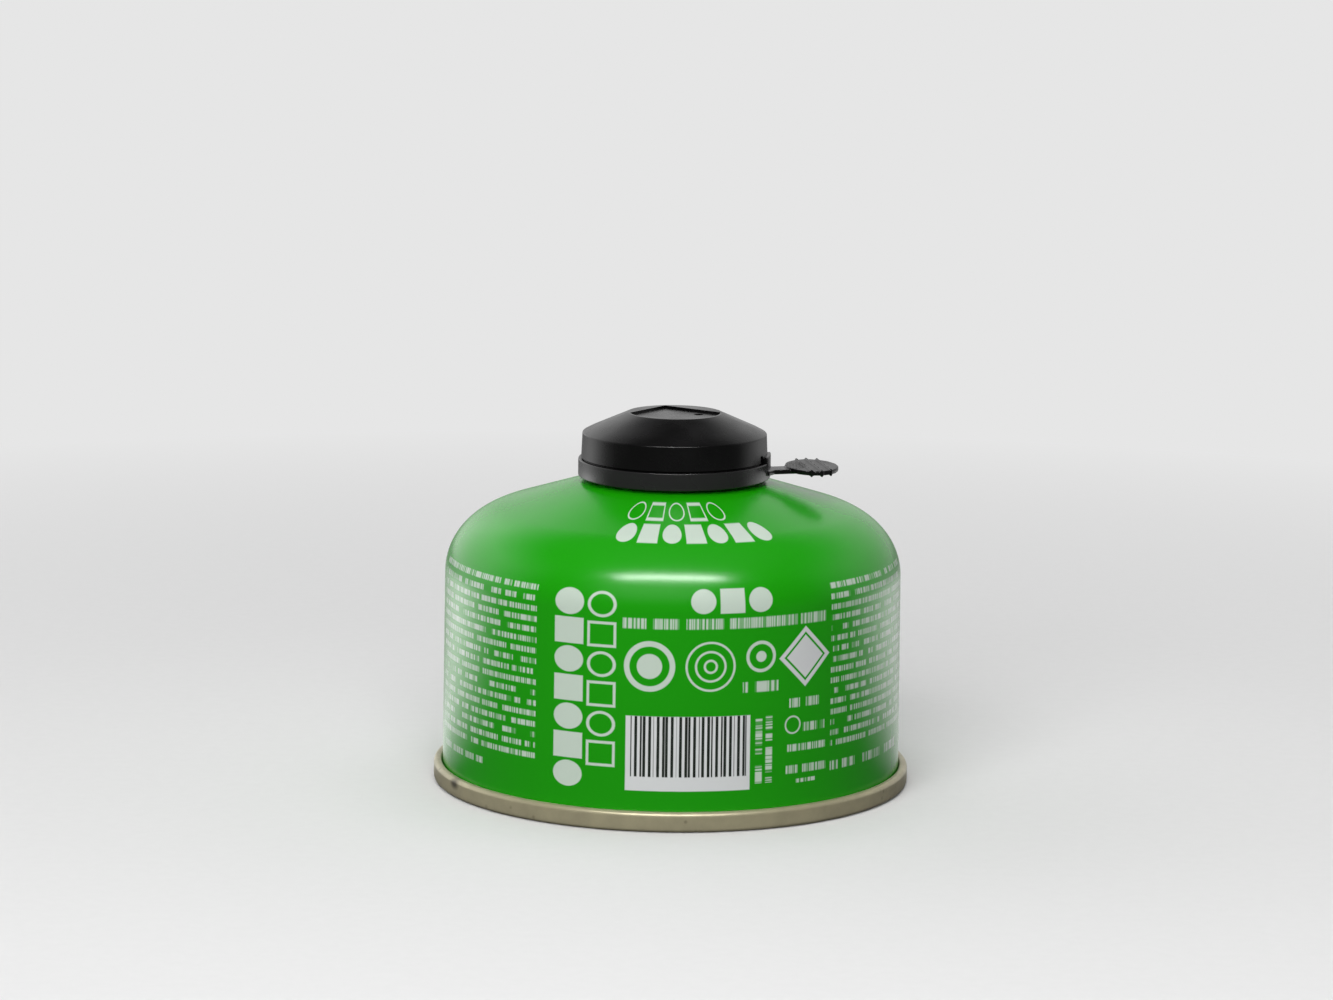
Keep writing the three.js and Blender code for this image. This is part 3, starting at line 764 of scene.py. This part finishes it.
def greenPaint(look, layout):
    material, g, shader, place = newMaterial("greenPaint")
    wall = g.group(groups["wallPlace"], Vector=place)
    across, height = wall["Across"], wall["Height"]

    def inked(distance, soften=look["edge"]):
        return g.span(distance, -soften, soften, 1, 0)

    def ringOf(distance, thickness):
        return g.math("SUBTRACT", g.math("ABSOLUTE", g.math("ADD", distance, thickness / 2)), thickness / 2)

    def printed(kind, x, z, sizes):
        values = {"Across": across, "Height": height, "Middle Across": x, "Middle Up": z}
        values.update(sizes)
        return g.group(groups[kind], **values)["Distance"]

    def block(x, z, w, h):
        return printed("blockPrint", x, z, {"Half Width": w / 2, "Half Height": h / 2})

    def disc(x, z, r):
        return printed("discPrint", x, z, {"Radius": r})

    def diamond(x, z, half):
        return printed("diamondPrint", x, z, {"Half": half})

    def marks(along, side, pitch, count, halfSize, halfHeight, line=0):
        values = {"Along": along, "Side": side, "Pitch": pitch, "Count": count}
        values.update({"Half Size": halfSize, "Half Height": halfHeight})
        distance = g.group(groups["markLine"], **values)["Distance"]
        return ringOf(distance, line) if line else distance

    def levelMarks(left, middle, *row):
        return marks(g.math("SUBTRACT", across, left), g.math("SUBTRACT", height, middle), *row)

    def dashes(left, top, width, tall, pitch, fill, seed, upright=False):
        along = g.math("SUBTRACT", across, left)
        down = g.math("SUBTRACT", top, height)
        if upright:
            along, down = down, along
        return g.group(groups["dashRows"], Along=along, Down=down, Width=width, Tall=tall, Pitch=pitch,
                       Fill=fill, Seed=seed)["Mask"]

    # rows of filled and outlined marks, rings and dots
    down = g.math("SUBTRACT", layout["markTop"], height)
    shapes = [marks(down, g.math("SUBTRACT", across, middle), *row)
              for middle, *row in layout["uprightMarks"]]
    shapes += [levelMarks(*row) for row in layout["levelMarks"]]
    shapes += [ringOf(disc(x, z, radius), line) for x, z, radius, line in layout["rings"]]
    shapes += [disc(*dot) for dot in layout["dots"]]
    inks = [inked(distance) for distance in shapes]
    # two curved rows of marks on the dome
    inks += [inked(levelMarks(*row), look["domeEdge"]) for row in layout["domeMarks"]]
    inks += [dashes(*field) for field in layout["dashFields"]]
    inks.append(dashes(*layout["uprightDashes"], True))
    ink = inks[0]
    for mark in inks[1:]:
        ink = g.math("MAXIMUM", ink, mark)
    # a pale panel of plain upright bars, and a pale diamond with a thin inner line
    panel = inked(block(*layout["panel"]))
    wide, narrow = layout["barWaves"]
    wave = g.math("ADD", g.math("SINE", g.math("MULTIPLY", across, wide)),
                  g.math("SINE", g.math("MULTIPLY", across, narrow)))
    bars = g.math("MULTIPLY", g.span(wave, -0.15, 0.15), inked(block(*layout["bars"])))
    sign = diamond(*layout["diamond"])
    inset, line = layout["diamondLine"]
    pale = g.math("MAXIMUM", panel, inked(sign))
    pale = g.math("SUBTRACT", pale, inked(ringOf(g.math("ADD", sign, inset), line)), clamp=True)

    grain = g.group(groups["fineGrain"], Vector=place, Scale=2600.0, Amount=1.0)["Value"]
    broad = g.noise(place, 60, 2)
    # painted shade: the wall's green is darker towards the bottom
    depth = g.span(height, 4, 44, 1, 0)
    green = g.mix(g.math("MULTIPLY", depth, 0.55), look["green"], look["greenMottleAndShade"])
    green = g.mix(g.math("MULTIPLY", g.math("MULTIPLY", grain, broad), 0.5), green, look["greenMottleAndShade"])
    color = g.mix(g.math("MULTIPLY", ink, 0.97), green, look["print"])
    color = g.mix(pale, color, look["panel"])
    color = g.mix(bars, color, look["bars"])
    g.feed(shader.inputs["Base Color"], color)
    rough = look["roughness"]
    g.feed(shader.inputs["Roughness"], g.span(grain, 0.3, 0.7, rough - 0.03, rough + 0.05))
    shader.inputs["IOR"].default_value = 1.5
    shader.inputs["Specular IOR Level"].default_value = 0.45
    addBump(g, shader, grain, 0.000004, 0.5)
    return material


tinLook = {
    "pale": (0.46, 0.42, 0.27, 1),
    "dull": (0.37, 0.335, 0.22, 1),
    "stain": (0.03, 0.025, 0.015, 1),
    "stainSpot": (-28.5, 2.7, 0.75),  # round from the front, up, and radius
    "roughness": 0.36,
}


def baseTinplate(look):
    material, g, shader, place = newMaterial("baseTinplate")
    wall = g.group(groups["wallPlace"], Vector=place)
    cloud = g.noise(place, 180, 4, 0.6)
    color = g.mix(g.span(cloud, 0.35, 0.7), look["pale"], look["dull"])
    speck = g.node("ShaderNodeTexVoronoi")
    g.feed(speck.inputs["Vector"], place)
    speck.inputs["Scale"].default_value = 420
    specks = g.math("MULTIPLY", g.span(speck.outputs["Distance"], 0.1, 0.22, 1, 0),
                    g.span(g.noise(place, 90, 2), 0.52, 0.62))
    spotX, spotZ, radius = look["stainSpot"]
    spot = g.group(groups["discPrint"], **{"Across": g.math("MULTIPLY", wall["Across"], 0.6),
                                           "Height": wall["Height"], "Middle Across": spotX,
                                           "Middle Up": spotZ, "Radius": radius})["Distance"]
    stain = g.span(spot, -0.4, 0.5, 0.85, 0)
    color = g.mix(g.math("MULTIPLY", specks, 0.55), color, look["stain"])
    color = g.mix(stain, color, look["stain"])
    g.feed(shader.inputs["Base Color"], color)
    shader.inputs["Metallic"].default_value = 0.35
    rough = look["roughness"]
    g.feed(shader.inputs["Roughness"], g.span(cloud, 0.3, 0.7, rough - 0.06, rough + 0.1))
    grain = g.group(groups["fineGrain"], Vector=place, Scale=1800.0, Amount=1.0)["Value"]
    addBump(g, shader, grain, 0.000006, 0.5)
    return material


plasticLook = {
    "black": (0.0025, 0.0024, 0.0025, 1),
    "worn": (0.0045, 0.0042, 0.0045, 1),
    # the band's colour is a painted reflection, lighter than the black of the cap
    "band": (0.017, 0.0165, 0.017, 1),
    "roughness": 0.24,
    "patch": (22.8, 0.4),
    "patchReach": (2.1, 3.0),
    "knurl": 5.4,
}


def capPlastic(look, name, patch):
    material, g, shader, place = newMaterial(name)
    cloud = g.noise(place, 150, 3)
    color = g.mix(g.span(cloud, 0.35, 0.75), look["black"], look["worn"])
    # painted reflection: the band below the tear line is drawn lighter
    band = g.span(g.group(groups["wallPlace"], Vector=place)["Height"], tearLine - 0.1, tearLine, 1, 0)
    if not patch:
        color = g.mix(band, color, look["band"])
    grain = g.group(groups["fineGrain"], Vector=place, Scale=1500.0, Amount=1.0)["Value"]
    rough = g.span(cloud, 0.3, 0.7, look["roughness"] - 0.04, look["roughness"] + 0.08)
    height = g.math("MULTIPLY", grain, 0.3)
    if patch:
        # the knurled patch where the arm widens into the finger pad
        split = g.node("ShaderNodeSeparateXYZ")
        g.feed(split.inputs[0], place)
        x = g.math("MULTIPLY", split.outputs["X"], 1000)
        y = g.math("MULTIPLY", split.outputs["Y"], 1000)
        dx = g.math("DIVIDE", g.math("SUBTRACT", x, look["patch"][0]), look["patchReach"][0])
        dy = g.math("DIVIDE", g.math("SUBTRACT", y, look["patch"][1]), look["patchReach"][1])
        far = g.math("ADD", g.math("MULTIPLY", dx, dx), g.math("MULTIPLY", dy, dy))
        field = g.span(far, 0.7, 1.1, 1, 0)
        one = g.math("SINE", g.math("MULTIPLY", g.math("ADD", x, y), look["knurl"]))
        two = g.math("SINE", g.math("MULTIPLY", g.math("SUBTRACT", x, y), look["knurl"]))
        studs = g.math("MULTIPLY", g.span(g.math("MULTIPLY", one, two), -0.2, 0.6), field)
        height = g.math("ADD", height, g.math("MULTIPLY", studs, 20))
    g.feed(shader.inputs["Base Color"], color)
    g.feed(shader.inputs["Roughness"], rough)
    shader.inputs["IOR"].default_value = 1.5
    shader.inputs["Specular IOR Level"].default_value = 0.32
    addBump(g, shader, height, 0.000008, 0.6)
    return material


# a plain finish with fine grain and slight clouding
def plainMaterial(name, color, dull, metallic, roughness, scale, depth):
    material, g, shader, place = newMaterial(name)
    cloud = g.noise(place, scale, 3)
    g.feed(shader.inputs["Base Color"], g.mix(g.span(cloud, 0.35, 0.7), color, dull))
    g.feed(shader.inputs["Roughness"], g.span(cloud, 0.3, 0.7, roughness - 0.05, roughness + 0.08))
    shader.inputs["Metallic"].default_value = metallic
    grain = g.group(groups["fineGrain"], Vector=place, Scale=2200.0, Amount=1.0)["Value"]
    addBump(g, shader, grain, depth, 0.6)
    return material


def dress(piece, material):
    piece.data.materials.clear()
    piece.data.materials.append(material)


def dressNode(name, material):
    for slot in nodes[name].material_slots:
        slot.material = material


dress(canBody, greenPaint(paintLook, printLayout))
dress(baseEnd, baseTinplate(tinLook))
dress(capShell, capPlastic(plasticLook, "capPlastic", False))
dress(pullTab, capPlastic(plasticLook, "tabPlastic", True))
# the valve's finishes: colour, duller colour, metallic, roughness, clouding scale, bump in metres
valveLooks = {
    "cupTinplate": ((0.58, 0.55, 0.46, 1), (0.46, 0.43, 0.35, 1), 0.9, 0.28, 220, 0.000005),
    "valvePlastic": ((0.62, 0.6, 0.55, 1), (0.55, 0.53, 0.48, 1), 0.0, 0.5, 300, 0.000006),
    "sealRubber": ((0.02, 0.02, 0.019, 1), (0.03, 0.03, 0.028, 1), 0.0, 0.75, 300, 0.00001),
    "springSteel": ((0.5, 0.5, 0.49, 1), (0.4, 0.4, 0.39, 1), 1.0, 0.25, 400, 0.000003),
}
valveFinish = {name: plainMaterial(name, *values) for name, values in valveLooks.items()}
dress(valveCup, valveFinish["cupTinplate"])
dress(valveThread, valveFinish["cupTinplate"])
dress(valveStem, valveFinish["valvePlastic"])
dressNode("valve_housing", valveFinish["valvePlastic"])
dressNode("cup_gasket", valveFinish["sealRubber"])
dressNode("stem_seal", valveFinish["sealRubber"])
dressNode("valve_spring", valveFinish["springSteel"])
# the spring gets a mesh of its own
coil = nodes["valve_spring"]
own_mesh(coil)
print("materials made")


# studio: a pale floor that fades into an even background, a tent and three soft lamps
studio = {
    "backdrop": (0.791, 0.791, 0.791, 1),
    "floorSeen": 0.78,
    "floorBounce": 0.1,
    "floorSize": 6.0,
    "fade": (0.16, 0.42),
    "dim": 0.065,
    "behind": 0.65,
    "leftBoost": 1.0,
    "rearGlow": 1.1,
    "leftGlow": 1.8,
    "rightGlow": 0.7,
    "lamps": [
        # name, place, size, watts, aims at, lights surfaces, shows in reflections
        ("streakLamp", (-0.02, -0.62, 0.88), (0.82, 0.12), 11.0, (0, 0, 0.045), False, True),
        ("frontFill", (-0.2, -1.1, 0.75), (1.2, 0.8), 18.0, (0, 0, 0.03), True, False),
        ("topFill", (0.1, 0.1, 1.3), (1.2, 1.2), 6.0, (0, 0, 0.03), True, False),
    ],
}


def makeStudio(look):
    bm = bmesh.new()
    bmesh.ops.create_grid(bm, x_segments=2, y_segments=2, size=look["floorSize"] / 2)
    bmesh.ops.translate(bm, verts=bm.verts, vec=(0, 0, -0.0001))
    floor = makePiece("studioFloor", bm)
    material, g, shader, place = newMaterial("floorPaper")
    rays = g.node("ShaderNodeLightPath")
    tone = g.span(rays.outputs["Is Camera Ray"], 0, 1, look["floorBounce"], look["floorSeen"])
    fibre = g.span(g.noise(place, 400, 3), 0.3, 0.7, 0.985, 1)
    g.feed(shader.inputs["Base Color"], g.math("MULTIPLY", tone, fibre))
    shader.inputs["Roughness"].default_value = 0.9
    shader.inputs["Specular IOR Level"].default_value = 0.0
    # in reflections the floor is dim in front of the can and bright behind it, most of all on the left
    glow = g.node("ShaderNodeEmission")
    glow.inputs["Color"].default_value = (1, 1, 1, 1)
    far = g.node("ShaderNodeVectorMath", operation="LENGTH")
    g.feed(far.inputs[0], place)
    way = g.node("ShaderNodeVectorMath", operation="NORMALIZE")
    g.feed(way.inputs[0], place)
    split = g.node("ShaderNodeSeparateXYZ")
    g.feed(split.inputs[0], way.outputs["Vector"])
    rear = g.math("MULTIPLY", g.span(split.outputs["Y"], -0.05, 0.4),
                  g.span(split.outputs["Y"], 0.6, 0.95, 1, 0.35))
    left = g.span(split.outputs["X"], -0.5, -0.85, 0, look["leftGlow"])
    right = g.span(split.outputs["X"], 0.4, 0.7, 0, look["rightGlow"])
    sides = g.math("ADD", g.math("ADD", left, right), look["rearGlow"])
    reach = g.math("MULTIPLY", g.span(far.outputs["Value"], 0.06, 0.2, 0.4, 1),
                   g.span(far.outputs["Value"], 0.26, 0.38, 1, 0.4))
    mirrored = g.math("ADD", g.math("MULTIPLY", g.math("MULTIPLY", rear, sides), reach), look["dim"])
    level = g.math("MULTIPLY", mirrored, rays.outputs["Is Glossy Ray"])
    plain = g.span(rays.outputs["Is Camera Ray"], 0, 1, look["dim"], look["backdrop"][0])
    level = g.math("ADD", level, plain)
    g.feed(glow.inputs["Strength"], level)
    blendIn = g.node("ShaderNodeMixShader")
    fade = g.span(far.outputs["Value"], look["fade"][0], look["fade"][1])
    g.feed(blendIn.inputs[0], g.math("MAXIMUM", fade, rays.outputs["Is Glossy Ray"]))
    g.feed(blendIn.inputs[1], shader.outputs[0])
    g.feed(blendIn.inputs[2], glow.outputs[0])
    g.feed(material.node_tree.nodes["Material Output"].inputs["Surface"], blendIn.outputs[0])
    dress(floor, material)
    # tent: bright low down behind the can, more so on its left, and dim overhead and in front
    world = bpy.data.worlds.new("studioTent")
    scene.world = world
    world.use_nodes = True
    g = Graph(world.node_tree)
    tent = world.node_tree.nodes["Background"]
    split = g.node("ShaderNodeSeparateXYZ")
    g.feed(split.inputs[0], g.node("ShaderNodeTexCoord").outputs["Generated"])
    rear = g.span(split.outputs["Y"], -0.25, 0.35)
    low = g.span(split.outputs["Z"], 0.5, 0.78, 1, 0)
    left = g.span(split.outputs["X"], -0.15, -0.4, 1, 1 + look["leftBoost"])
    level = g.math("MULTIPLY", g.math("MULTIPLY", rear, low), g.math("MULTIPLY", left, look["behind"]))
    g.feed(tent.inputs["Strength"], g.math("ADD", level, look["dim"]))
    tent.inputs["Color"].default_value = (1, 1, 1, 1)
    seen = g.node("ShaderNodeBackground")
    seen.inputs["Color"].default_value = look["backdrop"]
    rays = g.node("ShaderNodeLightPath")
    choose = g.node("ShaderNodeMixShader")
    g.feed(choose.inputs[0], rays.outputs["Is Camera Ray"])
    g.feed(choose.inputs[1], tent.outputs[0])
    g.feed(choose.inputs[2], seen.outputs[0])
    g.feed(world.node_tree.nodes["World Output"].inputs["Surface"], choose.outputs[0])
    for name, place, size, watts, aim, lights, shiny in look["lamps"]:
        data = bpy.data.lights.new(name, "AREA")
        data.shape = "RECTANGLE"
        data.size, data.size_y = size
        data.energy = watts
        lamp = bpy.data.objects.new(name, data)
        scene.collection.objects.link(lamp)
        lamp.location = place
        lamp.rotation_euler = (Vector(aim) - Vector(place)).to_track_quat("-Z", "Y").to_euler()
        lamp.visible_diffuse = lights
        lamp.visible_glossy = shiny


makeStudio(studio)
scene.view_settings.view_transform = "Standard"
print("studio made")
